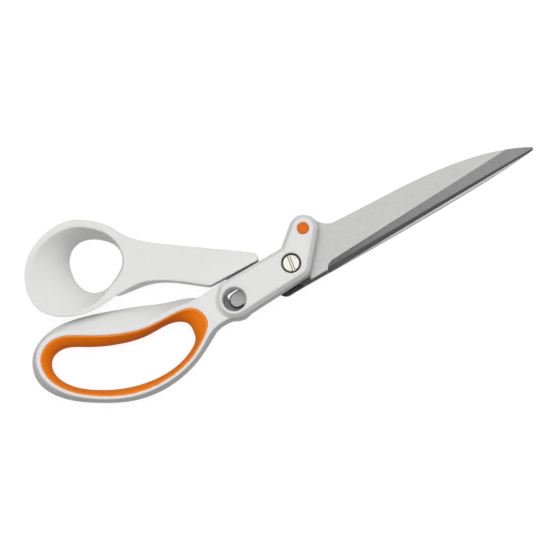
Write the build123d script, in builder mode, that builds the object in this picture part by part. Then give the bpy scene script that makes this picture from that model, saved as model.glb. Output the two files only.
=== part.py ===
"""Fabric shears: right-handed, 25 cm, with a lever arm that presses the blades together.

The origin is on the pivot screw's axis, in the flat back of the pivot nut, which is also
the plane the closed shears lie on. +X runs along the blades to their tips, +Y to the thumb
loop's side and +Z out of the front face. The closed position is modelled. Sizes are in mm.
"""

import os
from math import atan2, cos, degrees, hypot, radians, sin

from build123d import *

# Stack along the pivot's axis, from the back to the front
NUT_THICKNESS = 2.7
NUT_FLOOR = 0.7
WASHER_THICKNESS = 0.3
BLADE_THICKNESS = 2.6
RIDE_WASHER_THICKNESS = 0.2
ARM_LIFT = 0.2
ARM_THICKNESS = 7.9
SLEEVE_LENGTH = 5.2
HEAD_WASHER_THICKNESS = 0.4
HEAD_THICKNESS = 2.3

# Pivot
SCREW_DIAMETER = 5.0
RUNNING_CLEARANCE = 0.05
SLEEVE_DIAMETER = 7.0
HEAD_DIAMETER = 7.6
HEAD_WASHER_DIAMETER = 8.2
HEAD_CHAMFER = 0.3
SLOT_WIDTH = 1.3
SLOT_DEPTH = 1.1
SLOT_ANGLE = 80
NUT_ACROSS_FLATS = 9.0
NUT_CHAMFER = 0.3
WASHER_DIAMETER = 9.0
RIDE_WASHER_DIAMETER = 15.0

# Blades. Heights are measured across the blade, up from the front blade's cutting edge
BLADE_LENGTH = 121.8
FRONT_EDGE_Y = -11.4
HEEL_X = 16.0
FRONT_HEEL_HEIGHT = 18.7
FRONT_MIDDLE_SHARE = 0.52
FRONT_MIDDLE_HEIGHT = 16.1
FRONT_FALL_SHARE = 0.75
FRONT_FALL_HEIGHT = 12.2
FRONT_TIP_HEIGHT = 1.2
FRONT_DISC_RADIUS = 8.6
FRONT_CORNER_X = 2.5
FRONT_CORNER_RADIUS = 5.0
SPINE_START_X = 25.1
WEB_MIDDLE = (21.6, 9.6)
WEB_TOP = (19.2, 13.0)
BEVEL_START_X = 12.4
BEVEL_START_RADIUS = 5.0
BEVEL_HEEL_HEIGHT = 3.9
BEVEL_TIP_HEIGHT = 6.6
BEVEL_HEEL_DROP = 0.8
BEVEL_TIP_DROP = 1.5
BEVEL_OVERRUN = 1.0
EDGE_BEVEL_HEEL_HEIGHT = 2.1
EDGE_BEVEL_TIP_HEIGHT = 0.7
EDGE_LAND = 0.15
FRONT_TANG_LENGTH = 33.3
FRONT_TANG_WIDTH = 6.9
FRONT_TANG_ROOT_WIDTH = 11.0
FRONT_TANG_Y = -0.7
REAR_SPINE_DROPS = [(0.3, 0.55), (0.6, 1.05), (0.88, 0.6), (1.0, -0.2)]
REAR_HEEL_HEIGHT = 9.8
REAR_TIP_HEIGHT = 0.9
REAR_HEEL_X = -8.0
REAR_HEEL_RADIUS = 3.7
REAR_DISC_RADIUS = 9.4
REAR_SPINE_START_Y = -10.9
REAR_TANG_LENGTH = 47.0
REAR_TANG_ROOT_WIDTH = 7.0
REAR_TANG_TIP_WIDTH = 6.5
REAR_TANG_ANGLE = 154.0

# Link pin, which holds the lever arm to the front blade's ear
PIN_X = 12.8
PIN_Y = 10.9
PIN_DIAMETER = 3.6
PIN_HEAD_DIAMETER = 4.8
PIN_HEAD_THICKNESS = 0.9
PIN_SEAT_DEPTH = 2.9
LINK_WASHER_THICKNESS = 0.3
CAP_DIAMETER = 5.4
CAP_THICKNESS = 1.4
CAP_DOME = 0.25
CAP_TAPER = 60
PRESS_CLEARANCE = 0.01
EAR_RADIUS = 7.1
BLADE_EAR_RADIUS = 6.8

# Lever arm of the finger handle
ARM_SIDE_INSET = 2.5
ARM_WALL_INSET = 0.6
ARM_BEVEL_HEIGHT = 2.4
ARM_TOP_Y = 9.4
ARM_CORNER_RADIUS = 6.0
ARM_LOW_CORNER = (2.1, -3.0)
ARM_HIGH_CORNER = (2.7, 3.0)
ARM_NOTCH_CORNER = (2.8, 4.1)
ROCK_ANGLE = 1.2
ARM_HOLE_DIAMETER = 9.2
BOSS_X = -30.7
BOSS_Y = -0.8
BOSS_RADIUS = 9.1
BOSS_BACK_INSET = 0.7
BOSS_HOLE_RADIUS = 5.4
BOSS_HOLE_CHAMFER = 0.6
TANG_GAP = 0.3
SLOT_FLOOR_GAP = 0.2
WINDOW_X = -29.8
WINDOW_Y = 1.0
WINDOW_WIDTH = 6.2
WINDOW_HEIGHT = 7.2
WINDOW_RADIUS = 1.0

# Finger loop: opening, wall and soft grip. Its outline is a list of points in per cent of
# the opening's length and width from its middle, each with the wall's breadth there in mm,
# from the end beside the boss and up over the top. The crest is the grip's innermost line,
# with a point for each of the outline's.
FINGER_OPENING_LENGTH = 76.1
FINGER_OPENING_WIDTH = 42.5
FINGER_END_X = -46.1
FINGER_MIDDLE_Y = 5.0
FINGER_OUTLINE = [
    (50, -12.5, 5.5),
    (46, 1.5, 5.7),
    (34, 7, 7.1),
    (15, 10, 11.6),
    (-2, 20.5, 12.1),
    (-18, 36.5, 9.8),
    (-36, 50, 5.1),
    (-46.5, 42, 4.4),
    (-50, 24, 4.9),
    (-46.5, 3, 3.8),
    (-31, -25, 2.4),
    (-11, -44, 2.3),
    (10, -50, 2.3),
    (31, -43.5, 2.1),
    (45, -29, 3.2),
]
GRIP_CREST = [
    (39.5, -16),
    (38.5, -6.5),
    (33, 0.5),
    (14.5, 4),
    (-4, 12.5),
    (-20.5, 27),
    (-36, 38.5),
    (-42, 34.5),
    (-45, 24),
    (-43, 7.5),
    (-28.5, -18.5),
    (-10, -35),
    (10, -42),
    (29.5, -36.5),
    (38.5, -24.5),]
FINGER_RIM_WIDTH = 1.8
FINGER_RIM_SHIFT = 0.4
FINGER_RIM_Z = 15.2
FINGER_WIDEST_Z = 6.0
FINGER_BACK_INSET = 1.5
GRIP_RIM_DROP = 0.4
GRIP_BACK_Z = 0.8
GRIP_LIP = 0.4
GRIP_CREST_Z = 7.5
GRIP_CLEARANCE = 0.02
NECK_ROOT_X = FINGER_END_X - 5.0
NECK_ROOT_Y = (-10.4, 9.2)
NECK_NARROW_X = FINGER_END_X + 5.5
NECK_NARROW_Y = (-6.9, 8.7)
NECK_BOSS_Y = (-9.6, ARM_TOP_Y)
NECK_BACK_Z = 0.5
NECK_TOP_Z = 13.8
NECK_SLOPE = (-50.0, -40.0)

# Thumb loop: front opening as per cent points like the finger loop's, with the wall's
# breadth at the front rim, narrowing to a round hole at the back
THUMB_OPENING_LENGTH = 44.8
THUMB_OPENING_WIDTH = 37.6
THUMB_MIDDLE_X = -85.8
THUMB_MIDDLE_Y = 48.7
THUMB_OUTLINE = [
    (50, -7.5, 4.0),
    (46, 16, 3.9),
    (34, 34, 3.6),
    (17, 47, 3.5),
    (-4, 50, 3.0),
    (-24, 43.5, 2.7),
    (-40, 28.5, 2.5),
    (-49, 7.5, 2.4),
    (-48.5, -18, 2.4),
    (-36, -38, 1.5),
    (-17, -47.5, 1.8),
    (4, -48, 2.7),
    (23, -40, 5.3),
    (41, -30, 7.5),
]
THUMB_HOLE_X = -77.1
THUMB_HOLE_Y = 48.0
THUMB_HOLE_RADIUS = 12.2
THUMB_HOLE_LOBE = 0.6
THUMB_HOLE_LOBE_ANGLE = -8.0
THUMB_THROAT_Z = 5.5
THUMB_THROAT_SHARE = 0.14
THUMB_HOLE_WALL = 3.6
THUMB_RIM_Z = 16.5
THUMB_ARM_TOP_Z = 14.0
THUMB_ARM_BACK_Z = 1.0
THUMB_ARM_BACK_INSET = 0.7
THUMB_ARM_UPPER = [(-64.6, 60.4), (-61.6, 56.0), (-59.5, 51.9), (-56.4, 47.9), (-49.2, 41.2)]
THUMB_ARM_END = (-11.2, 12.6)
THUMB_ARM_START_RUN = (0.6, -0.8)
THUMB_ARM_LOWER = [
    (-46.0, 17.8, 0.7),
    (-55.4, 24.3, 0.7),
    (-61.5, 27.2, 0.2),
    (-68.0, 28.2, 0.4),
    (-76.0, 28.6, 1.6),
]
THUMB_CUT_LEFT_X = -37.2
THUMB_CUT_RIGHT_X = -12.3
THUMB_CUT_LEFT_GAP = 1.0
THUMB_CUT_RIGHT_GAP = -0.2
THUMB_CUT_BACK_INSET = 1.0
THUMB_CORNER_RADIUS = 1.6
THUMB_SLOPE = (-70.0, -48.0)
SLOPE_START_RISE = 0.5

# Heights that follow from the stack
NUT_TOP = NUT_THICKNESS
REAR_BLADE_BACK = NUT_TOP + WASHER_THICKNESS
REAR_BLADE_FACE = REAR_BLADE_BACK + BLADE_THICKNESS
FRONT_BLADE_BACK = REAR_BLADE_FACE + RIDE_WASHER_THICKNESS
FRONT_BLADE_FACE = FRONT_BLADE_BACK + BLADE_THICKNESS
ARM_BACK = FRONT_BLADE_FACE + ARM_LIFT
ARM_FACE = ARM_BACK + ARM_THICKNESS
SLEEVE_TOP = FRONT_BLADE_FACE + SLEEVE_LENGTH
HEAD_BACK = SLEEVE_TOP + HEAD_WASHER_THICKNESS
HEAD_FACE = HEAD_BACK + HEAD_THICKNESS

SCREW_HOLE_RADIUS = SCREW_DIAMETER / 2 + RUNNING_CLEARANCE
SLOT_BACK = FRONT_BLADE_BACK - SLOT_FLOOR_GAP

# The lever arm's outline at its back: two straight-sided shapes, each stretched round its
# corners, which are given as (x, y, radius)
ARM_CORNERS = [(*ARM_LOW_CORNER, ARM_CORNER_RADIUS), (*ARM_HIGH_CORNER, ARM_CORNER_RADIUS)]
ARM_EAR = [
    (PIN_X, PIN_Y, EAR_RADIUS),
    (*ARM_NOTCH_CORNER, ARM_CORNER_RADIUS),
    *ARM_CORNERS,
]
ARM_BAR = [
    (BOSS_X, BOSS_Y, BOSS_RADIUS),
    (BOSS_X, ARM_TOP_Y - ARM_CORNER_RADIUS, ARM_CORNER_RADIUS),
    *ARM_CORNERS,
]

ROCK_REACH = hypot(PIN_X + FRONT_TANG_LENGTH, PIN_Y) * sin(radians(ROCK_ANGLE))


def placed(outline, middle_x, middle_y, length, width):
    """The outline's per cent points as places in mm."""
    return [(middle_x + u * length / 100, middle_y + v * width / 100) for u, v, *_ in outline]


def moved_out(points, breadths):
    """Each point of a closed counter-clockwise outline, moved out square to the outline."""
    moved = []
    for i, (x, y) in enumerate(points):
        before = points[i - 1]
        after = points[(i + 1) % len(points)]
        run = hypot(after[0] - before[0], after[1] - before[1])
        out_x = (after[1] - before[1]) / run
        out_y = (before[0] - after[0]) / run
        moved.append((x + out_x * breadths[i], y + out_y * breadths[i]))
    return moved


def evenly(breadth, points):
    """The same breadth at every point."""
    return [breadth] * len(points)


def closed_face(points):
    """The face inside a smooth closed curve, on the XY plane."""
    with BuildSketch() as inside:
        with BuildLine():
            Spline(*points, periodic=True)
        make_face()
    return inside.sketch


def slope_tool(run, high, low):
    """All that lies over a smooth slope along X, from just above a rim down to an arm."""
    start_x, end_x = run
    start_z = high + SLOPE_START_RISE
    with BuildPart() as tool:
        with BuildSketch(Plane.XZ):
            with BuildLine():
                Spline((start_x, start_z), (end_x, low), tangents=((1, 0), (1, 0)))
                Polyline((end_x, low), (0, low), (0, 2 * start_z), (start_x, 2 * start_z),
                         (start_x, start_z))
            make_face()
        extrude(amount=BLADE_LENGTH, both=True)
    return tool.part


def finish(part, name):
    """Label a finished piece and write its STEP file."""
    part.label = name
    export_step(part, f"parts/{name}.step")


os.makedirs("parts", exist_ok=True)

# ---- Pivot ----

with BuildPart() as pivot_nut:
    with BuildSketch():
        RegularPolygon(NUT_ACROSS_FLATS / 2, 6, major_radius=False)
    extrude(amount=NUT_THICKNESS)
    with Locations((0, 0, NUT_THICKNESS)):
        Hole(SCREW_HOLE_RADIUS, depth=NUT_THICKNESS - NUT_FLOOR)
    chamfer(pivot_nut.faces().sort_by(Axis.Z)[0].outer_wire().edges(), NUT_CHAMFER)
finish(pivot_nut.part, "pivot_nut")

with BuildPart() as nut_washer:
    with BuildSketch(Plane.XY.offset(NUT_TOP)):
        Circle(WASHER_DIAMETER / 2)
        Circle(SCREW_HOLE_RADIUS, mode=Mode.SUBTRACT)
    extrude(amount=WASHER_THICKNESS)
finish(nut_washer.part, "nut_washer")

with BuildPart() as ride_washer:
    with BuildSketch(Plane.XY.offset(REAR_BLADE_FACE)):
        Circle(RIDE_WASHER_DIAMETER / 2)
        Circle(SCREW_HOLE_RADIUS, mode=Mode.SUBTRACT)
    extrude(amount=RIDE_WASHER_THICKNESS)
finish(ride_washer.part, "ride_washer")

with BuildPart() as pivot_sleeve:
    with BuildSketch(Plane.XY.offset(FRONT_BLADE_FACE)):
        Circle(SLEEVE_DIAMETER / 2)
        Circle(SCREW_HOLE_RADIUS, mode=Mode.SUBTRACT)
    extrude(amount=SLEEVE_LENGTH)
finish(pivot_sleeve.part, "pivot_sleeve")

with BuildPart() as head_washer:
    with BuildSketch(Plane.XY.offset(SLEEVE_TOP)):
        Circle(HEAD_WASHER_DIAMETER / 2)
        Circle(SCREW_HOLE_RADIUS, mode=Mode.SUBTRACT)
    extrude(amount=HEAD_WASHER_THICKNESS)
finish(head_washer.part, "head_washer")

with BuildPart() as pivot_screw:
    with BuildSketch(Plane.XY.offset(NUT_FLOOR + RUNNING_CLEARANCE)):
        Circle(SCREW_DIAMETER / 2)
    extrude(amount=HEAD_BACK - NUT_FLOOR - RUNNING_CLEARANCE)
    with BuildSketch(Plane.XY.offset(HEAD_BACK)):
        Circle(HEAD_DIAMETER / 2)
    extrude(amount=HEAD_THICKNESS)
    chamfer(pivot_screw.faces().sort_by(Axis.Z)[-1].edges(), HEAD_CHAMFER)
    with BuildSketch(Plane.XY.offset(HEAD_FACE)):
        Rectangle(2 * HEAD_DIAMETER, SLOT_WIDTH, rotation=SLOT_ANGLE)
    extrude(amount=-SLOT_DEPTH, mode=Mode.SUBTRACT)
finish(pivot_screw.part, "pivot_screw")

# ---- Blades ----


def bevel_tool(back, face, edge, heel, tip):
    """Two ground faces along an edge, as a prism from the heel's section to the tip's.

    back and face are the heights of the blade's flat and ground sides, edge gives the
    edge's y at each end, and heel and tip are (x, height of the bevel's upper line, height
    of the narrow edge bevel's, drop between those two lines).
    """
    towards = 1 if face > back else -1
    side = -1 if towards > 0 else 1
    with BuildPart() as tool:
        for edge_y, (x, height, edge_height, drop) in zip(edge, (heel, tip)):
            with BuildSketch(Plane.YZ.offset(x)):
                with BuildLine():
                    Polyline(
                        (edge_y - side * height, face + towards),
                        (edge_y - side * height, face),
                        (edge_y - side * edge_height, face - towards * drop),
                        (edge_y, back + towards * EDGE_LAND),
                        (edge_y + side * height, back + towards * EDGE_LAND),
                        (edge_y + side * height, face + towards),
                        close=True,
                    )
                make_face()
        loft()
    return tool.part


def front_tang(low_gap, high_gap):
    """The front tang's outline on the XY plane, with gaps added below and above it."""
    low_end = FRONT_TANG_Y - FRONT_TANG_WIDTH / 2 - low_gap
    high_end = FRONT_TANG_Y + FRONT_TANG_WIDTH / 2 + high_gap
    end_x = FRONT_TANG_WIDTH / 2 - FRONT_TANG_LENGTH
    half_root = FRONT_TANG_ROOT_WIDTH / 2
    with BuildSketch() as tang:
        with BuildLine():
            Polyline((0, half_root + high_gap), (end_x, high_end), (end_x, low_end),
                     (0, -half_root - low_gap), close=True)
        make_face()
        with Locations((end_x, (low_end + high_end) / 2)):
            Circle((high_end - low_end) / 2)
    return tang.sketch


with BuildPart() as front_bevel:
    end_x = BLADE_LENGTH + BEVEL_OVERRUN
    with BuildSketch(Plane.XY.offset(FRONT_BLADE_BACK)) as ground:
        with BuildLine():
            low_y = FRONT_EDGE_Y - BEVEL_START_RADIUS
            start = (BEVEL_START_X, FRONT_EDGE_Y + BEVEL_HEEL_HEIGHT)
            Polyline((BEVEL_START_X, low_y), start, (end_x, FRONT_EDGE_Y + BEVEL_TIP_HEIGHT),
                     (end_x, low_y), close=True)
        make_face()
        fillet(ground.vertices().sort_by_distance(start)[0], BEVEL_START_RADIUS)
    extrude(amount=2 * BLADE_THICKNESS)
    add(
        bevel_tool(
            FRONT_BLADE_BACK,
            FRONT_BLADE_FACE,
            (FRONT_EDGE_Y, FRONT_EDGE_Y),
            (BEVEL_START_X, BEVEL_HEEL_HEIGHT, EDGE_BEVEL_HEEL_HEIGHT, BEVEL_HEEL_DROP),
            (end_x, BEVEL_TIP_HEIGHT, EDGE_BEVEL_TIP_HEIGHT, BEVEL_TIP_DROP),
        ),
        mode=Mode.INTERSECT,
    )

with BuildPart() as front_blade:
    with BuildSketch(Plane.XY.offset(FRONT_BLADE_BACK)):
        with BuildLine():
            tip_y = FRONT_EDGE_Y + FRONT_TIP_HEIGHT
            spine = Spline(
                (SPINE_START_X, FRONT_EDGE_Y + FRONT_HEEL_HEIGHT),
                (FRONT_MIDDLE_SHARE * BLADE_LENGTH, FRONT_EDGE_Y + FRONT_MIDDLE_HEIGHT),
                (FRONT_FALL_SHARE * BLADE_LENGTH, FRONT_EDGE_Y + FRONT_FALL_HEIGHT),
                (BLADE_LENGTH, tip_y),
            )
            Polyline((BLADE_LENGTH, tip_y), (BLADE_LENGTH - FRONT_TIP_HEIGHT, FRONT_EDGE_Y),
                     (FRONT_CORNER_X, FRONT_EDGE_Y), (0, 0), (PIN_X, PIN_Y), WEB_TOP)
            ThreePointArc(WEB_TOP, WEB_MIDDLE, spine @ 0)
        make_face()
        Circle(FRONT_DISC_RADIUS)
        with Locations((FRONT_CORNER_X, FRONT_EDGE_Y + FRONT_CORNER_RADIUS)):
            Circle(FRONT_CORNER_RADIUS)
        with Locations((PIN_X, PIN_Y)):
            Circle(BLADE_EAR_RADIUS)
        add(front_tang(0, 0))
    extrude(amount=BLADE_THICKNESS)
    add(front_bevel.part, mode=Mode.SUBTRACT)
    with Locations((0, 0, FRONT_BLADE_FACE)):
        Hole(SCREW_HOLE_RADIUS)
    with Locations((PIN_X, PIN_Y, FRONT_BLADE_FACE)):
        Hole(PIN_DIAMETER / 2 + PRESS_CLEARANCE)
finish(front_blade.part, "front_blade")

rear_bevel = bevel_tool(
    REAR_BLADE_FACE,
    REAR_BLADE_BACK,
    (FRONT_EDGE_Y + REAR_HEEL_HEIGHT, FRONT_EDGE_Y + REAR_TIP_HEIGHT),
    (HEEL_X, BEVEL_HEEL_HEIGHT, EDGE_BEVEL_TIP_HEIGHT, BEVEL_TIP_DROP),
    (BLADE_LENGTH, BEVEL_HEEL_HEIGHT, EDGE_BEVEL_TIP_HEIGHT, BEVEL_TIP_DROP),
)

rear_tang_end = Vector(
    REAR_TANG_LENGTH * cos(radians(REAR_TANG_ANGLE)),
    REAR_TANG_LENGTH * sin(radians(REAR_TANG_ANGLE)),
)

with BuildSketch() as rear_tang:
    with BuildLine():
        across = Vector(-rear_tang_end.Y, rear_tang_end.X).normalized()
        root = across * (REAR_TANG_ROOT_WIDTH / 2)
        end = across * (REAR_TANG_TIP_WIDTH / 2)
        Polyline(root, rear_tang_end + end, rear_tang_end - end, -root, close=True)
    make_face()
    with Locations(rear_tang_end):
        Circle(REAR_TANG_TIP_WIDTH / 2)

with BuildPart() as rear_blade:
    with BuildSketch(Plane.XY.offset(REAR_BLADE_BACK)) as rear_pivot:
        Circle(REAR_DISC_RADIUS)
        heel_y = REAR_SPINE_START_Y + REAR_HEEL_RADIUS
        with Locations((REAR_HEEL_X, heel_y), (0, heel_y)):
            Circle(REAR_HEEL_RADIUS)
        make_hull()
    with BuildSketch(Plane.XY.offset(REAR_BLADE_BACK)):
        with BuildLine():
            spine = Spline(
                (0, REAR_SPINE_START_Y),
                *[(share * BLADE_LENGTH, FRONT_EDGE_Y - drop) for share, drop in REAR_SPINE_DROPS],
            )
            Polyline(spine @ 1, (BLADE_LENGTH, FRONT_EDGE_Y + REAR_TIP_HEIGHT),
                     (HEEL_X, FRONT_EDGE_Y + REAR_HEEL_HEIGHT), (0, 0), spine @ 0)
        make_face()
        add(rear_tang.sketch)
    extrude(amount=BLADE_THICKNESS)
    add(rear_bevel, mode=Mode.SUBTRACT)
    with Locations((0, 0, REAR_BLADE_FACE)):
        Hole(SCREW_HOLE_RADIUS)
finish(rear_blade.part, "rear_blade")

# ---- Link pin ----

PIN_SEAT = ARM_FACE - PIN_SEAT_DEPTH
CAP_BACK = ARM_FACE - CAP_THICKNESS

with BuildPart() as link_washer:
    with BuildSketch(Plane.XY.offset(PIN_SEAT)):
        with Locations((PIN_X, PIN_Y)):
            Circle(CAP_DIAMETER / 2 - PRESS_CLEARANCE)
            Circle(PIN_DIAMETER / 2 + RUNNING_CLEARANCE, mode=Mode.SUBTRACT)
    extrude(amount=LINK_WASHER_THICKNESS)
finish(link_washer.part, "link_washer")

with BuildPart() as link_pin:
    head_z = PIN_SEAT + LINK_WASHER_THICKNESS
    with BuildSketch(Plane.XY.offset(FRONT_BLADE_BACK)):
        with Locations((PIN_X, PIN_Y)):
            Circle(PIN_DIAMETER / 2)
    extrude(amount=head_z - FRONT_BLADE_BACK)
    with BuildSketch(Plane.XY.offset(head_z)):
        with Locations((PIN_X, PIN_Y)):
            Circle(PIN_HEAD_DIAMETER / 2)
    extrude(amount=PIN_HEAD_THICKNESS)
finish(link_pin.part, "link_pin")

with BuildPart() as pin_cap:
    with BuildSketch(Plane.XY.offset(CAP_BACK)):
        with Locations((PIN_X, PIN_Y)):
            Circle(CAP_DIAMETER / 2)
    extrude(amount=CAP_THICKNESS)
    with BuildSketch(Plane.XY.offset(ARM_FACE)):
        with Locations((PIN_X, PIN_Y)):
            Circle(CAP_DIAMETER / 2)
    extrude(amount=CAP_DOME, taper=CAP_TAPER)
finish(pin_cap.part, "pin_cap")

# ---- Finger handle ----

finger_opening, grip_crest = [
    placed(
        outline,
        FINGER_END_X - FINGER_OPENING_LENGTH / 2,
        FINGER_MIDDLE_Y,
        FINGER_OPENING_LENGTH,
        FINGER_OPENING_WIDTH,
    )
    for outline in (FINGER_OUTLINE, GRIP_CREST)
]
finger_walls = [wall for _, _, wall in FINGER_OUTLINE]

with BuildPart() as finger_handle:
    with BuildSketch():
        add(closed_face(moved_out(finger_opening, [w - FINGER_BACK_INSET for w in finger_walls])))
    with BuildSketch(Plane.XY.offset(FINGER_WIDEST_Z)):
        add(closed_face(moved_out(finger_opening, finger_walls)))
    with BuildSketch(Plane.XY.offset(FINGER_RIM_Z)):
        rim = moved_out(finger_opening, evenly(FINGER_RIM_WIDTH, finger_opening))
        add(closed_face([(x, y + FINGER_RIM_SHIFT) for x, y in rim]))
    loft()
    with BuildSketch(Plane.XY.offset(NECK_BACK_Z)):
        with BuildLine():
            low, high = [
                [(NECK_ROOT_X, root_y), (NECK_NARROW_X, narrow_y), (BOSS_X, boss_y)]
                for root_y, narrow_y, boss_y in zip(NECK_ROOT_Y, NECK_NARROW_Y, NECK_BOSS_Y)
            ]
            lower = Spline(*low)
            upper = Spline(*reversed(high))
            Line(lower @ 1, upper @ 0)
            Line(upper @ 1, lower @ 0)
        make_face()
    extrude(amount=FINGER_RIM_Z - NECK_BACK_Z)
    add(slope_tool(NECK_SLOPE, FINGER_RIM_Z, NECK_TOP_Z), mode=Mode.SUBTRACT)
    for z, inset in ((0, BOSS_BACK_INSET), (ARM_BACK, 0)):
        with BuildSketch(Plane.XY.offset(z)):
            with Locations((BOSS_X, BOSS_Y)):
                Circle(BOSS_RADIUS - inset)
    loft()
    with BuildSketch():
        add(closed_face(finger_opening))
    extrude(amount=ARM_FACE, mode=Mode.SUBTRACT)
    for rounds in (ARM_BAR, ARM_EAR):
        for z, inset in (
            (ARM_BACK, 0),
            (ARM_FACE - ARM_BEVEL_HEIGHT, ARM_WALL_INSET),
            (ARM_FACE, ARM_SIDE_INSET),
        ):
            with BuildSketch(Plane.XY.offset(z)):
                for x, y, radius in rounds:
                    with Locations((x, y)):
                        Circle(radius - inset)
                make_hull()
        loft(ruled=True)
    with BuildSketch(Plane.XY.offset(SLOT_BACK)):
        add(front_tang(TANG_GAP, TANG_GAP + ROCK_REACH))
        with Locations((BOSS_X, BOSS_Y)):
            Circle(BOSS_HOLE_RADIUS)
    extrude(amount=ARM_BACK - SLOT_BACK, mode=Mode.SUBTRACT)
    with BuildSketch():
        with Locations((WINDOW_X, WINDOW_Y)):
            RectangleRounded(WINDOW_WIDTH, WINDOW_HEIGHT, WINDOW_RADIUS)
    extrude(amount=SLOT_BACK, mode=Mode.SUBTRACT)
    with Locations((BOSS_X, BOSS_Y, ARM_FACE)):
        Hole(BOSS_HOLE_RADIUS, depth=ARM_THICKNESS)
    face_rounds = finger_handle.edges().filter_by(GeomType.CIRCLE).group_by(Axis.Z)[-1]
    chamfer(face_rounds.filter_by(lambda e: abs(e.radius - BOSS_HOLE_RADIUS) < 0.01), BOSS_HOLE_CHAMFER)
    with Locations((0, 0, ARM_FACE)):
        Hole(ARM_HOLE_DIAMETER / 2, depth=ARM_THICKNESS)
    with Locations((PIN_X, PIN_Y, ARM_FACE)):
        Hole(PIN_DIAMETER / 2 + RUNNING_CLEARANCE, depth=ARM_THICKNESS)
        Hole(CAP_DIAMETER / 2 + PRESS_CLEARANCE, depth=PIN_SEAT_DEPTH)
finish(finger_handle.part, "finger_handle")

with BuildPart() as finger_grip:
    with BuildSketch(Plane.XY.offset(GRIP_BACK_Z)):
        add(closed_face(moved_out(finger_opening, evenly(-GRIP_CLEARANCE, finger_opening))))
    extrude(amount=FINGER_RIM_Z - GRIP_RIM_DROP - GRIP_BACK_Z)
    lip = moved_out(finger_opening, evenly(-GRIP_LIP, finger_opening))
    for z, points in ((0, lip), (GRIP_CREST_Z, grip_crest), (FINGER_RIM_Z, lip)):
        with BuildSketch(Plane.XY.offset(z)):
            add(closed_face(points))
    loft(mode=Mode.SUBTRACT)
finish(finger_grip.part, "finger_grip")

# ---- Thumb handle ----

thumb_opening = placed(
    THUMB_OUTLINE, THUMB_MIDDLE_X, THUMB_MIDDLE_Y, THUMB_OPENING_LENGTH, THUMB_OPENING_WIDTH
)
thumb_walls = [wall for _, _, wall in THUMB_OUTLINE]


def drawn_in(outline, wall):
    """The outline's points drawn in to the thumb hole's rounded triangle, or a wall outside it."""
    drawn = []
    for u, v, *_ in outline:
        turn = atan2(v * THUMB_OPENING_WIDTH, u * THUMB_OPENING_LENGTH)
        lobe = THUMB_HOLE_LOBE * cos(3 * (turn - radians(THUMB_HOLE_LOBE_ANGLE)))
        reach = THUMB_HOLE_RADIUS + lobe + wall
        drawn.append((THUMB_HOLE_X + reach * cos(turn), THUMB_HOLE_Y + reach * sin(turn)))
    return drawn


thumb_hole = drawn_in(THUMB_OUTLINE, 0)
thumb_throat = [
    (x + THUMB_THROAT_SHARE * (rim_x - x), y + THUMB_THROAT_SHARE * (rim_y - y))
    for (x, y), (rim_x, rim_y) in zip(thumb_hole, thumb_opening)
]
arm_run = Vector(*THUMB_ARM_END) - Vector(*THUMB_ARM_UPPER[-1])

with BuildPart() as thumb_handle:
    with BuildSketch():
        add(closed_face(drawn_in(THUMB_OUTLINE, THUMB_HOLE_WALL)))
    with BuildSketch(Plane.XY.offset(THUMB_RIM_Z)):
        add(closed_face(moved_out(thumb_opening, thumb_walls)))
    loft()
    for z, share in ((THUMB_ARM_BACK_Z, 1), (THUMB_RIM_Z, 0)):
        cut_y = ARM_TOP_Y + share * THUMB_CUT_BACK_INSET
        cut_left = (THUMB_CUT_LEFT_X, cut_y + THUMB_CUT_LEFT_GAP)
        cut_right = (THUMB_CUT_RIGHT_X, cut_y + THUMB_CUT_RIGHT_GAP)
        with BuildSketch(Plane.XY.offset(z)) as arm:
            with BuildLine():
                lower = Spline(cut_left, *[(x, y + share * inset) for x, y, inset in THUMB_ARM_LOWER])
                upper = Spline(*[(x, y - share * THUMB_ARM_BACK_INSET) for x, y in THUMB_ARM_UPPER],
                               tangents=(THUMB_ARM_START_RUN, arm_run.normalized()))
                Line(lower @ 1, upper @ 0)
                Polyline(upper @ 1, THUMB_ARM_END, cut_right, cut_left)
            make_face()
            fillet(arm.vertices().sort_by_distance(THUMB_ARM_END)[0], THUMB_CORNER_RADIUS)
    loft()
    add(slope_tool(THUMB_SLOPE, THUMB_RIM_Z, THUMB_ARM_TOP_Z), mode=Mode.SUBTRACT)
    for z, points in ((0, thumb_hole), (THUMB_THROAT_Z, thumb_throat), (THUMB_RIM_Z, thumb_opening)):
        with BuildSketch(Plane.XY.offset(z)):
            add(closed_face(points))
    loft(mode=Mode.SUBTRACT)
    with BuildSketch(Plane.XY.offset(REAR_BLADE_BACK)):
        add(rear_tang.sketch)
    extrude(amount=BLADE_THICKNESS, mode=Mode.SUBTRACT)
finish(thumb_handle.part, "thumb_handle")
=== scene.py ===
"""Fabric shears: moulded skins, finishes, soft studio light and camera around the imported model."""

import math

import bmesh
import bpy
from mathutils import Matrix, Vector


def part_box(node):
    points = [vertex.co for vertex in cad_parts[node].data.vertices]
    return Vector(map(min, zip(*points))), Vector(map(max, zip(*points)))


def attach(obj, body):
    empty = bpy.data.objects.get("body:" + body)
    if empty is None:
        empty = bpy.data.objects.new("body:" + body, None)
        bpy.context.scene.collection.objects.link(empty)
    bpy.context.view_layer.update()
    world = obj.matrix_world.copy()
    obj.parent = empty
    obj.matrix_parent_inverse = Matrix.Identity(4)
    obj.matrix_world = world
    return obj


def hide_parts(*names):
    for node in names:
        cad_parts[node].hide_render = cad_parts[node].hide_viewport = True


MM = 0.001

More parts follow.
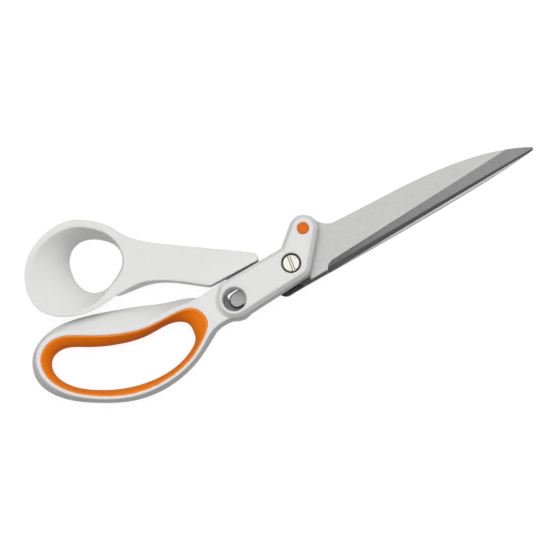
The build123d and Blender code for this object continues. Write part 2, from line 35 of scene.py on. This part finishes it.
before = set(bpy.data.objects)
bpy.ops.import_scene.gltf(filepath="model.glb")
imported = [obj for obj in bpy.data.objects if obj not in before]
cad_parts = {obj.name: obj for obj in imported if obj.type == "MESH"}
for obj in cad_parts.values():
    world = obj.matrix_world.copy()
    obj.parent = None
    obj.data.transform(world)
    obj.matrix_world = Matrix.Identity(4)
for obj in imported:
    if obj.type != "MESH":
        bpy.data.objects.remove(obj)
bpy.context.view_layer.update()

# ---- Node helpers ----

# A mix node has sockets for every kind of data, so they are picked by number.
MIX_FACTOR = 0
VALUE_A, VALUE_B, VALUE_RESULT = 2, 3, 0
COLOUR_A, COLOUR_B, COLOUR_RESULT = 6, 7, 2


def new_material(name):
    """A new node material, its tree, its shader and its object coordinates."""
    material = bpy.data.materials.new(name)
    material.use_nodes = True
    tree = material.node_tree
    shader = tree.nodes["Principled BSDF"]
    place = tree.nodes.new("ShaderNodeTexCoord").outputs["Object"]
    return material, tree, shader, place


def set_inputs(tree, node, inputs):
    """The node, with its inputs set to values or linked to sockets."""
    for key, value in inputs.items():
        if isinstance(value, bpy.types.NodeSocket):
            tree.links.new(value, node.inputs[key])
        else:
            node.inputs[key].default_value = value
    return node


def add_node(tree, kind, inputs, **settings):
    """A new node with its settings and inputs."""
    node = tree.nodes.new(kind)
    for key, value in settings.items():
        setattr(node, key, value)
    return set_inputs(tree, node, inputs)


def noise(tree, place, scale, detail):
    """Noise on object coordinates."""
    inputs = {"Vector": place, "Scale": scale, "Detail": detail}
    return add_node(tree, "ShaderNodeTexNoise", inputs).outputs["Fac"]


def remap(tree, value, source, target=(0.0, 1.0), **settings):
    """A value carried from its source range to a target range, and held inside it."""
    inputs = {
        "Value": value,
        "From Min": source[0],
        "From Max": source[1],
        "To Min": target[0],
        "To Max": target[1],
    }
    return add_node(tree, "ShaderNodeMapRange", inputs, **settings).outputs["Result"]


def arithmetic(tree, operation, first, second):
    """The sum, difference or other result of two values."""
    node = add_node(tree, "ShaderNodeMath", {0: first, 1: second}, operation=operation)
    return node.outputs["Value"]


def product(tree, first, *others):
    """Values multiplied together."""
    for value in others:
        first = arithmetic(tree, "MULTIPLY", first, value)
    return first


def split(tree, vector):
    """The vector's X, Y and Z."""
    return add_node(tree, "ShaderNodeSeparateXYZ", {"Vector": vector}).outputs


def flat_radius(tree, x, y):
    """How far x and y lie from their origin."""
    flat = add_node(tree, "ShaderNodeCombineXYZ", {"X": x, "Y": y}).outputs["Vector"]
    node = add_node(tree, "ShaderNodeVectorMath", {0: flat}, operation="LENGTH")
    return node.outputs["Value"]


def blend_values(tree, factor, first, second):
    """Two values mixed by a factor."""
    inputs = {MIX_FACTOR: factor, VALUE_A: first, VALUE_B: second}
    return add_node(tree, "ShaderNodeMix", inputs).outputs[VALUE_RESULT]


def blend_colours(tree, factor, first, second, blend_type="MIX"):
    """Two colours mixed by a factor."""
    inputs = {MIX_FACTOR: factor, COLOUR_A: first, COLOUR_B: second}
    node = add_node(tree, "ShaderNodeMix", inputs, data_type="RGBA", blend_type=blend_type)
    return node.outputs[COLOUR_RESULT]


def grey_of(tree, value):
    """A value as a grey colour."""
    inputs = {"Red": value, "Green": value, "Blue": value}
    return add_node(tree, "ShaderNodeCombineColor", inputs).outputs["Color"]


def shaded(tree, colour, shade):
    """A colour multiplied by a value."""
    return blend_colours(tree, 1.0, colour, grey_of(tree, shade), "MULTIPLY")


def bumped(tree, height, strength, depth):
    """The normals of a surface whose height varies, at a strength and over a depth."""
    inputs = {"Strength": strength, "Distance": depth, "Height": height}
    return add_node(tree, "ShaderNodeBump", inputs).outputs["Normal"]


def seen(tree):
    """1 for rays from the camera, from a reflection or through a clear surface, else 0."""
    path = tree.nodes.new("ShaderNodeLightPath").outputs
    direct = arithmetic(tree, "MAXIMUM", path["Is Camera Ray"], path["Is Glossy Ray"])
    return arithmetic(tree, "MAXIMUM", direct, path["Is Transmission Ray"])


def new_group(name, inputs, outputs):
    """A shader node group with named sockets, each given as (name, socket kind)."""
    tree = bpy.data.node_groups.new(name, "ShaderNodeTree")
    for label, kind in inputs:
        tree.interface.new_socket(label, in_out="INPUT", socket_type=kind)
    for label, kind in outputs:
        tree.interface.new_socket(label, in_out="OUTPUT", socket_type=kind)
    given = tree.nodes.new("NodeGroupInput").outputs
    result = tree.nodes.new("NodeGroupOutput").inputs
    return tree, given, result


def place_group(tree, group, inputs):
    """The outputs of a group, placed in a material with its own values."""
    node = tree.nodes.new("ShaderNodeGroup")
    node.node_tree = group
    return set_inputs(tree, node, inputs).outputs


# ---- Shared effects ----

# Where nearly all of the noise lies, for broad clouds, for pores and for ground lines.
NOISE_SPAN = (0.3, 0.7)
PORE_SPAN = (0.35, 0.65)
LINE_SPAN = (0.25, 0.75)

FAINT_SHADE = (0.985, 1.01)
UNEVEN_SHEEN = (0.93, 1.08)


def moulded_skin_group():
    """A moulded surface: fine even grain, darker pores, and faint clouds of colour and sheen."""
    tree, given, result = new_group(
        "moulded_skin",
        [
            ("Place", "NodeSocketVector"),
            ("Colour", "NodeSocketColor"),
            ("Roughness", "NodeSocketFloat"),
            ("Grain Scale", "NodeSocketFloat"),
            ("Grain Height", "NodeSocketFloat"),
        ],
        [
            ("Colour", "NodeSocketColor"),
            ("Roughness", "NodeSocketFloat"),
            ("Normal", "NodeSocketVector"),
        ],
    )
    place = given["Place"]
    grain = noise(tree, place, given["Grain Scale"], 3.0)
    clouds = remap(tree, noise(tree, place, 55.0, 3.0), NOISE_SPAN, FAINT_SHADE)
    pores = remap(tree, grain, PORE_SPAN, FAINT_SHADE)
    sheen = remap(tree, noise(tree, place, 140.0, 3.0), NOISE_SPAN, UNEVEN_SHEEN)
    colour = shaded(tree, given["Colour"], product(tree, clouds, pores))
    tree.links.new(colour, result["Colour"])
    tree.links.new(product(tree, given["Roughness"], sheen), result["Roughness"])
    tree.links.new(bumped(tree, grain, given["Grain Height"], 0.04 * MM), result["Normal"])
    return tree


def ground_lines_group():
    """Fine lines left by a grinding belt: a value about 1, and a height for bump."""
    tree, given, result = new_group(
        "ground_lines",
        [
            ("Place", "NodeSocketVector"),
            ("Stretch", "NodeSocketVector"),
            ("Scale", "NodeSocketFloat"),
            ("Contrast", "NodeSocketFloat"),
        ],
        [("Shade", "NodeSocketFloat"), ("Height", "NodeSocketFloat")],
    )
    turned = add_node(
        tree, "ShaderNodeMapping", {"Vector": given["Place"], "Scale": given["Stretch"]}
    )
    lines = add_node(
        tree,
        "ShaderNodeTexNoise",
        {
            "Vector": turned.outputs["Vector"],
            "Scale": given["Scale"],
            "Detail": 4.0,
            "Roughness": 0.65,
        },
    ).outputs["Fac"]
    low = arithmetic(tree, "SUBTRACT", 1.0, given["Contrast"])
    high = arithmetic(tree, "ADD", 1.0, given["Contrast"])
    tree.links.new(remap(tree, lines, LINE_SPAN, (low, high)), result["Shade"])
    tree.links.new(lines, result["Height"])
    return tree


# ---- Moulded plastic and grip ----

# The painted shade in the boss's hole starts inside this radius and below this height.
BOSS_AXIS = Vector((-30.7, -0.8, 0)) * MM
BOSS_SHADE_RADIUS = (6.0 * MM, 5.5 * MM)
BOSS_SHADE_HEIGHT = (13.0 * MM, 7.0 * MM)
BOSS_SHADE_STRENGTH = (0.5, 0.66)


def boss_hole_painted_shade(tree, place):
    """A value that falls in the depths of the boss's hole: painted shade, unevenly strong."""
    spot = add_node(tree, "ShaderNodeVectorMath", {0: place, 1: BOSS_AXIS}, operation="SUBTRACT")
    parts = split(tree, spot.outputs["Vector"])
    near = remap(tree, flat_radius(tree, parts["X"], parts["Y"]), BOSS_SHADE_RADIUS)
    deep = remap(tree, parts["Z"], BOSS_SHADE_HEIGHT)
    shade_strength = remap(tree, noise(tree, place, 900.0, 3.0), NOISE_SPAN, BOSS_SHADE_STRENGTH)
    return arithmetic(tree, "SUBTRACT", 1.0, product(tree, near, deep, shade_strength))


def moulded(name, skin, colour, roughness, gloss, grain_scale, grain_height, hole_shade=None):
    """A moulded plastic or soft grip material, darkened by a painted shade where one is given."""
    material, tree, shader, place = new_material(name)
    surface = place_group(
        tree,
        skin,
        {
            "Place": place,
            "Colour": (*colour, 1),
            "Roughness": roughness,
            "Grain Scale": grain_scale,
            "Grain Height": grain_height,
        },
    )
    tint = surface["Colour"]
    # Painted shade: the colour darkened where shade falls, here in the boss's hole.
    if hole_shade:
        tint = shaded(tree, tint, hole_shade(tree, place))
    set_inputs(
        tree,
        shader,
        {
            "Base Color": tint,
            "Roughness": surface["Roughness"],
            "Normal": surface["Normal"],
            "Specular IOR Level": gloss,
        },
    )
    return material


# ---- Blades ----

FACE_STEEL = (0.46, 0.46, 0.456)
# The bevel and edge greys are painted shade: the steel is darker the steeper it slopes.
GROUND_STEEL_WITH_SLOPE_SHADE = (0.28, 0.28, 0.28)
STEEPER_SLOPE_SHADE_STEEL = (0.15, 0.15, 0.15)
EDGE_SLOPE_SHADE_STEEL = (0.09, 0.09, 0.09)
TANG_SHADE_STEEL = (0.355, 0.351, 0.343)
TANG_OUTLINE_SHADE_STEEL = (0.02, 0.02, 0.02)
HEEL_SHADE_STEEL = (0.06, 0.06, 0.06)

# The squared Z of the normal over which the face turns to bevel, steeper bevel and edge.
GROUND_FLATNESS = (0.985, 0.955)
STEEPER_FLATNESS = (0.93, 0.86)
EDGE_FLATNESS = (0.76, 0.66)

BLADE_LINES = 2600.0
BLADE_SPECKS = (0.93, 1.06)
BLADE_POLISH = (0.38, 0.52)

# The tang's round end, how its half width grows from there, where it starts, and the width of the
# painted shade along its outline.
TANG_END = Vector((-29.85, -0.7, 0)) * MM
TANG_END_RADIUS = 3.45 * MM
TANG_TAPER = 0.069
TANG_START_X = (-18 * MM, -20 * MM)
TANG_OUTLINE_SHADE_WIDTH = (0.55 * MM, 0.3 * MM)

# The painted shade on the rear blade's heel: its own darkness, and where it thins out along and up
# the blade.
HEEL_SHADE_LEVELS = (0.1, 1.0)
HEEL_SHADE_END_X = (11 * MM, 20 * MM)
HEEL_SHADE_TOP_Y = (-6 * MM, -3 * MM)
HEEL_SHADE_WANDER = (-1.5 * MM, 1.5 * MM)

# The painted shade on the front blade's heel: its lower side as far as its end, and the rear below
# its top.
HEEL_LOWER_Y = (-9.9 * MM, -10.4 * MM)
HEEL_END_X = (15 * MM, 12 * MM)
HEEL_REAR_X = (5.2 * MM, 3.6 * MM)
HEEL_REAR_Y = (-7.6 * MM, -8.4 * MM)


def tang_amounts(tree, place):
    """Two amounts: painted shade along the tang's outline, and the whole tang, painted darker as it
    lies in shade.
    """
    parts = split(tree, place)
    run = arithmetic(tree, "SUBTRACT", parts["X"], TANG_END[0])
    radius = flat_radius(
        tree,
        arithmetic(tree, "MINIMUM", run, 0.0),
        arithmetic(tree, "SUBTRACT", parts["Y"], TANG_END[1]),
    )
    widening = product(tree, arithmetic(tree, "MAXIMUM", run, 0.0), TANG_TAPER)
    half = arithmetic(tree, "ADD", widening, TANG_END_RADIUS)
    inset = arithmetic(tree, "SUBTRACT", half, radius)
    whole = remap(tree, parts["X"], TANG_START_X)
    return product(tree, remap(tree, inset, TANG_OUTLINE_SHADE_WIDTH), whole), whole


def heel_painted_shade(tree, place):
    """Painted shade on the rear blade, where the lever arm shades it: dark at its heel, and 1 up and
    along the blade.
    """
    parts = split(tree, place)
    wander = remap(tree, noise(tree, place, 350.0, 3.0), NOISE_SPAN, HEEL_SHADE_WANDER)
    reach = arithmetic(tree, "ADD", parts["X"], wander)
    ahead = remap(tree, reach, HEEL_SHADE_END_X, HEEL_SHADE_LEVELS)
    return arithmetic(tree, "MAXIMUM", ahead, remap(tree, parts["Y"], HEEL_SHADE_TOP_Y))


def heel_edge_painted_shade(tree, place):
    """Painted shade round the front blade's heel: 1 along its lower side and behind it."""
    parts = split(tree, place)
    lower = remap(tree, parts["Y"], HEEL_LOWER_Y)
    rear = product(
        tree, remap(tree, parts["X"], HEEL_REAR_X), remap(tree, parts["Y"], HEEL_REAR_Y)
    )
    round_heel = arithmetic(tree, "MAXIMUM", lower, rear)
    return product(tree, round_heel, remap(tree, parts["X"], HEEL_END_X))


def blade_material(name, lines, tang=False, heel_shaded=False):
    """Satin faces with lines along the blade, and ground bevels with lines across it; painted shade
    darkens the steeper slopes, and the tang and heels where asked.
    """
    material, tree, shader, place = new_material(name)
    normal = tree.nodes.new("ShaderNodeTexCoord").outputs["Normal"]
    slope = split(tree, normal)["Z"]
    flatness = product(tree, slope, slope)
    ground = remap(tree, flatness, GROUND_FLATNESS)
    steeper = remap(tree, flatness, STEEPER_FLATNESS)
    edge = remap(tree, flatness, EDGE_FLATNESS)
    along_blade = place_group(
        tree,
        lines,
        {"Place": place, "Stretch": (0.10, 1.0, 1.0), "Scale": BLADE_LINES, "Contrast": 0.10},
    )
    over_blade = place_group(
        tree,
        lines,
        {"Place": place, "Stretch": (1.0, 0.08, 0.08), "Scale": BLADE_LINES, "Contrast": 0.13},
    )
    # Painted shade: bevels and edges darker by their slope.
    bevel = blend_colours(tree, steeper, (*GROUND_STEEL_WITH_SLOPE_SHADE, 1), (*STEEPER_SLOPE_SHADE_STEEL, 1))
    steel = blend_colours(tree, ground, (*FACE_STEEL, 1), bevel)
    steel = blend_colours(tree, edge, steel, (*EDGE_SLOPE_SHADE_STEEL, 1))
    if tang:
        # Painted shade on the tang in the boss's hole, darkest along its outline.
        tang_outline_shade, whole_tang = tang_amounts(tree, place)
        steel = blend_colours(tree, whole_tang, steel, (*TANG_SHADE_STEEL, 1))
        steel = blend_colours(tree, tang_outline_shade, steel, (*TANG_OUTLINE_SHADE_STEEL, 1))
        # Painted shade along the front blade's heel.
        steel = blend_colours(tree, heel_edge_painted_shade(tree, place), steel, (*HEEL_SHADE_STEEL, 1))
    clouds = remap(tree, noise(tree, place, 60.0, 2.0), NOISE_SPAN, FAINT_SHADE)
    specks = remap(tree, noise(tree, place, 3200.0, 2.0), NOISE_SPAN, BLADE_SPECKS)
    shade = blend_values(tree, ground, along_blade["Shade"], over_blade["Shade"])
    shade = product(tree, shade, clouds, specks)
    # Painted shade on the rear blade's heel, under the lever arm.
    if heel_shaded:
        shade = product(tree, shade, heel_painted_shade(tree, place))
    height = blend_values(tree, ground, along_blade["Height"], over_blade["Height"])
    polish = remap(tree, ground, (0.0, 1.0), BLADE_POLISH)
    wear = remap(tree, noise(tree, place, 300.0, 3.0), NOISE_SPAN, UNEVEN_SHEEN)
    set_inputs(
        tree,
        shader,
        {
            "Base Color": shaded(tree, steel, shade),
            "Roughness": product(tree, polish, wear),
            "Normal": bumped(tree, height, 0.12, 0.01 * MM),
            "Metallic": 1.0,
        },
    )
    return material


# ---- Turned steel ----

NICKEL = (0.76, 0.75, 0.69)
BLACKENED_STEEL = (0.045, 0.042, 0.034)
# The colour of the painted shade in a screw's slot.
SLOT_SHADE_COLOUR = (0.20, 0.17, 0.11)

TURNED_CLOUDS = (0.96, 1.02)
SHEEN_DROP = 0.04
SHEEN_RISE = 0.05

# The slot lies at this angle, and its painted shade between these distances from its middle.
SLOT_TURN = math.radians(80)
SLOT_ACROSS = Vector((-math.sin(SLOT_TURN), math.cos(SLOT_TURN), 0))
SLOT_SHADE_START = (0.26 * MM, 0.40 * MM)
SLOT_SHADE_END = (0.78 * MM, 0.68 * MM)


def slot_corner_painted_shade(tree, place):
    """Painted shade in the corners of the screw's slot: 1 along both of its sides."""
    sideways = add_node(
        tree, "ShaderNodeVectorMath", {0: place, 1: SLOT_ACROSS}, operation="DOT_PRODUCT"
    ).outputs["Value"]
    off = arithmetic(tree, "ABSOLUTE", sideways, 0.0)
    return product(tree, remap(tree, off, SLOT_SHADE_START), remap(tree, off, SLOT_SHADE_END))


def turned_material(name, colour, roughness, contrast, slotted=False):
    """Steel turned on a lathe: fine rings about the pivot, and painted shade in a screw's slot."""
    material, tree, shader, place = new_material(name)
    parts = split(tree, place)
    rings = add_node(
        tree,
        "ShaderNodeTexNoise",
        {"W": flat_radius(tree, parts["X"], parts["Y"]), "Scale": 5200.0, "Detail": 3.0},
        noise_dimensions="1D",
    ).outputs["Fac"]
    clouds = noise(tree, place, 400.0, 3.0)
    shade = product(
        tree,
        remap(tree, rings, LINE_SPAN, (1.0 - contrast, 1.0 + contrast / 2)),
        remap(tree, clouds, NOISE_SPAN, TURNED_CLOUDS),
    )
    tint = shaded(tree, (*colour, 1), shade)
    if slotted:
        # Painted shade along the sides of the screw's slot.
        tint = blend_colours(tree, slot_corner_painted_shade(tree, place), tint, (*SLOT_SHADE_COLOUR, 1))
    sheen = (roughness - SHEEN_DROP, roughness + SHEEN_RISE)
    set_inputs(
        tree,
        shader,
        {
            "Base Color": tint,
            "Roughness": remap(tree, clouds, NOISE_SPAN, sheen),
            "Normal": bumped(tree, rings, 0.15, 0.01 * MM),
            "Metallic": 1.0,
        },
    )
    return material


# ---- Finishes ----

WHITE_MOULDING = {
    "colour": (0.80, 0.80, 0.792),
    "roughness": 0.45,
    "gloss": 0.3,
    "grain_scale": 2600.0,
    "grain_height": 0.12,
}
SOFT_GRIP = {
    "colour": (0.97, 0.235, 0.009),
    "roughness": 0.6,
    "gloss": 0.08,
    "grain_scale": 1800.0,
    "grain_height": 0.3,
}
ORANGE_CAP = {
    "colour": (0.80, 0.155, 0.006),
    "roughness": 0.45,
    "gloss": 0.1,
    "grain_scale": 2600.0,
    "grain_height": 0.1,
}

skin = moulded_skin_group()
lines = ground_lines_group()
white_plastic = moulded("white_moulding", skin, **WHITE_MOULDING)
# This white moulding carries painted shade in the boss's hole.
lever_plastic = moulded("white_moulding_with_boss", skin, **WHITE_MOULDING, hole_shade=boss_hole_painted_shade)
black_steel = turned_material("blackened_steel", BLACKENED_STEEL, 0.4, 0.15)
plain_steel = turned_material("plain_steel", FACE_STEEL, 0.35, 0.08)

# The two handles are left out: their skins, below, stand for them.
FINISHES = {
    "front_blade": blade_material("satin_blade_steel_with_shaded_tang_and_heel", lines, tang=True),
    # The rear blade carries painted shade on its heel.
    "rear_blade": blade_material("satin_blade_steel_heel_shaded", lines, heel_shaded=True),
    "finger_grip": moulded("orange_soft_grip", skin, **SOFT_GRIP),
    "pin_cap": moulded("orange_cap", skin, **ORANGE_CAP),
    "pivot_screw": turned_material("slotted_nickel", NICKEL, 0.33, 0.12, slotted=True),
    "pivot_nut": turned_material("turned_nickel", NICKEL, 0.33, 0.12),
    "pivot_sleeve": black_steel,
    "head_washer": black_steel,
    "ride_washer": plain_steel,
    "nut_washer": plain_steel,
    "link_pin": plain_steel,
    "link_washer": plain_steel,
}
for node_name, material in FINISHES.items():
    node_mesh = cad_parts[node_name].data
    node_mesh.materials.clear()
    node_mesh.materials.append(material)

# ---- Moulded skins ----

WELD_DISTANCE = 0.001 * MM
SKIN_VOXEL = 0.42 * MM
SKIN_SMOOTHING_ROUNDS = 4


def softened(node_name, body, material):
    """A moulded piece's own shape with its edges rounded, as they leave the mould."""
    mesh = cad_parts[node_name].data.copy()
    welded = bmesh.new()
    welded.from_mesh(mesh)
    bmesh.ops.remove_doubles(welded, verts=welded.verts, dist=WELD_DISTANCE)
    welded.to_mesh(mesh)
    welded.free()
    raw = bpy.data.objects.new(node_name + "_raw", mesh)
    bpy.context.scene.collection.objects.link(raw)
    remesh = raw.modifiers.new("skin", "REMESH")
    remesh.mode = "VOXEL"
    remesh.voxel_size = SKIN_VOXEL
    smooth = raw.modifiers.new("soft_edges", "SMOOTH")
    smooth.factor = 0.5
    smooth.iterations = SKIN_SMOOTHING_ROUNDS
    depsgraph = bpy.context.evaluated_depsgraph_get()
    shape = bpy.data.meshes.new_from_object(raw.evaluated_get(depsgraph))
    bpy.data.objects.remove(raw)
    bpy.data.meshes.remove(mesh)
    shape.name = node_name + "_skin"
    piece = bpy.data.objects.new(node_name + "_skin", shape)
    bpy.context.scene.collection.objects.link(piece)
    shape.materials.clear()
    shape.materials.append(material)
    for face in shape.polygons:
        face.use_smooth = True
    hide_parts(node_name)
    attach(piece, body)


softened("finger_handle", "finger_half", lever_plastic)
softened("thumb_handle", "thumb_half", white_plastic)

# ---- Floor, light and camera ----

VIEW_TILT = math.radians(8)
VIEW_ROLL = math.radians(31)
VIEW_WIDTH = 250.25 * MM
VIEW_DISTANCE = 2.5
SENSOR_WIDTH = 36.0

# The camera aims this many mm behind the pivot and below it.
AIM_BACK = 9.1
AIM_BELOW = 0.95

FLOOR_SIZE = 6.0
FLOOR_GREY = (0.15, 0.15, 0.15, 1)
FLOOR_GLOW = 0.9

# The dome's axis leans from overhead to the view's top, turned a little to its right.
DOME_LEAN = 0.22
DOME_TURN = 0.2
DOME_RUN = (0.6, 1.0)
DOME_LEVELS = (0.06, 2.58)

along = Vector((1, 0, 0))
across = Vector((0, math.cos(VIEW_TILT), math.sin(VIEW_TILT)))
towards = along.cross(across)
right = along * math.cos(VIEW_ROLL) - across * math.sin(VIEW_ROLL)
up = along * math.sin(VIEW_ROLL) + across * math.cos(VIEW_ROLL)


def make_floor():
    """A grey floor that glows near white when it is seen, and keeps the object's shadow."""
    bpy.ops.mesh.primitive_plane_add(size=FLOOR_SIZE, location=(0, 0, 0))
    floor = bpy.context.object
    floor.name = "floor"
    material, tree, shader, _ = new_material("pale_floor")
    set_inputs(tree, shader, {"Base Color": FLOOR_GREY, "Roughness": 0.9})
    plain = shader.outputs["BSDF"]
    glow = add_node(tree, "ShaderNodeEmission", {"Color": (1, 1, 1, 1), "Strength": FLOOR_GLOW})
    both = add_node(tree, "ShaderNodeAddShader", {0: plain, 1: glow.outputs["Emission"]})
    pick = add_node(
        tree, "ShaderNodeMixShader", {0: seen(tree), 1: plain, 2: both.outputs["Shader"]}
    )
    tree.links.new(pick.outputs["Shader"], tree.nodes["Material Output"].inputs["Surface"])
    floor.data.materials.append(material)


def make_world():
    """A soft studio dome, brightest a little off overhead, and white when it is seen."""
    world = bpy.data.worlds.new("studio")
    bpy.context.scene.world = world
    world.use_nodes = True
    tree = world.node_tree
    sky = tree.nodes.new("ShaderNodeTexCoord").outputs["Generated"]
    lean = DOME_LEAN * (up + DOME_TURN * right).normalized()
    axis = (Vector((0, 0, 1)) + lean).normalized()
    height = add_node(
        tree, "ShaderNodeVectorMath", {0: sky, 1: axis}, operation="DOT_PRODUCT"
    ).outputs["Value"]
    dome = remap(tree, height, DOME_RUN, DOME_LEVELS, interpolation_type="SMOOTHSTEP")
    level = blend_values(tree, seen(tree), dome, 1.0)
    set_inputs(tree, tree.nodes["Background"], {"Color": (1, 1, 1, 1), "Strength": level})


def make_camera():
    """The camera, a little below the blades' square view and rolled so that the tips rise."""
    pivot_top = Vector((0, 0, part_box("pivot_screw")[1].z))
    aim = pivot_top - along * AIM_BACK * MM - across * AIM_BELOW * MM
    data = bpy.data.cameras.new("camera")
    data.sensor_width = SENSOR_WIDTH
    data.lens = SENSOR_WIDTH * VIEW_DISTANCE / VIEW_WIDTH
    camera = bpy.data.objects.new("camera", data)
    turn = Matrix((right, up, towards)).transposed().to_4x4()
    camera.matrix_world = Matrix.Translation(aim + towards * VIEW_DISTANCE) @ turn
    bpy.context.scene.collection.objects.link(camera)
    bpy.context.scene.camera = camera


make_floor()
make_world()
make_camera()
bpy.context.scene.view_settings.view_transform = "Standard"
